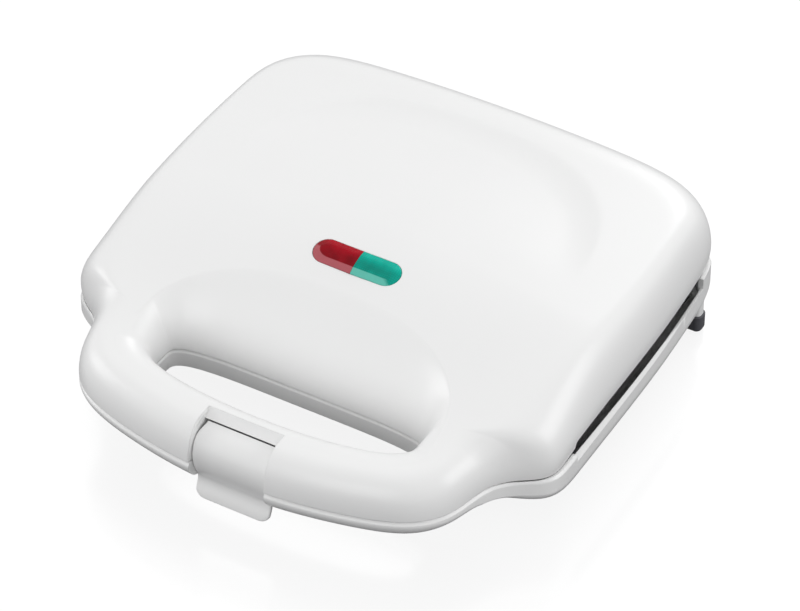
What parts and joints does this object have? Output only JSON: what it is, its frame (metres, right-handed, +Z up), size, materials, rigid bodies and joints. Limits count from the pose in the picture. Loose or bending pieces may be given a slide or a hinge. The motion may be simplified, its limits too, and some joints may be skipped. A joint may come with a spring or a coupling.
{
  "type": "sandwich toaster",
  "caption": "Countertop sandwich toaster: hinged clamshell housing with loop handle, swinging latch, sealed triangular baking plates and indicator lenses.",
  "frame": {"origin": "centre of the overall box on the surface it stands on, lid shut", "axes": "+Z up, +X to the right, -Y towards the handle and latch"},
  "size_m": [0.2376, 0.2435, 0.0775],
  "materials": {
    "white_plastic": "satin gloss moulding",
    "plate_coating": "die-cast, under a dark non-stick coating",
    "element_sheath": "heat-dulled sheath",
    "bright_sheet": "rolled sheet",
    "steel": "zinc plated",
    "dark_rubber": "matt rubber",
    "dark_plastic": "phenolic moulding",
    "inner_plastic": "unfinished moulding",
    "glass_sleeve": "woven glass-fibre sleeve",
    "red_lens": "clear red, polished",
    "green_lens": "clear green, ribbed inside",
    "lamp_glass": "clear bulb",
    "resistor_body": "lacquered",
    "red_insulation": "insulation",
    "brown_insulation": "insulation",
    "blue_insulation": "insulation",
    "green_insulation": "insulation"
  },
  "bodies": {
    "base": {"lower_housing": "white_plastic", "lower_plate": "plate_coating", "lower_element": "element_sheath", "lower_element_clamps": "bright_sheet", "lower_reflector": "bright_sheet", "lower_plate_screws": "steel", "lower_tray_screws": "steel", "thermostat": "dark_plastic", "thermostat_strap": "bright_sheet", "thermal_fuse": "glass_sleeve", "terminal_block": "inner_plastic", "terminal_block_screws": "steel", "cord_grommet": "dark_rubber", "cord_clamp": "inner_plastic", "cord_clamp_screws": "steel", "live_wire": "brown_insulation", "neutral_wire": "blue_insulation", "earth_wire": "green_insulation", "front_feet": "dark_rubber", "rear_feet": "dark_rubber", "hinge_pins": "steel", "link_sleeve": "glass_sleeve"},
    "lid": {"upper_housing": "white_plastic", "upper_plate": "plate_coating", "upper_element": "element_sheath", "upper_element_clamps": "bright_sheet", "upper_reflector": "bright_sheet", "upper_plate_screws": "steel", "upper_tray_screws": "steel", "red_lens": "red_lens", "green_lens": "green_lens", "lamp_holder": "inner_plastic", "lamp_holder_screws": "steel", "red_lamp": "lamp_glass", "green_lamp": "lamp_glass", "lamp_resistors": "resistor_body", "lid_wires": "glass_sleeve", "lamp_wires": "red_insulation", "latch_pin": "steel"},
    "latch": {"latch": "white_plastic"}
  },
  "joints": [
    {"name": "lid_hinge", "type": "hinge", "parent": "base", "child": "lid", "pos_m": [0, 0.113, 0.046], "axis": [-1, 0, 0], "range_deg": [0, 100]},
    {"name": "latch_hinge", "type": "hinge", "parent": "lid", "child": "latch", "pos_m": [0, -0.11, 0.0425], "axis": [-1, 0, 0], "range_deg": [0, 65]}
  ]
}
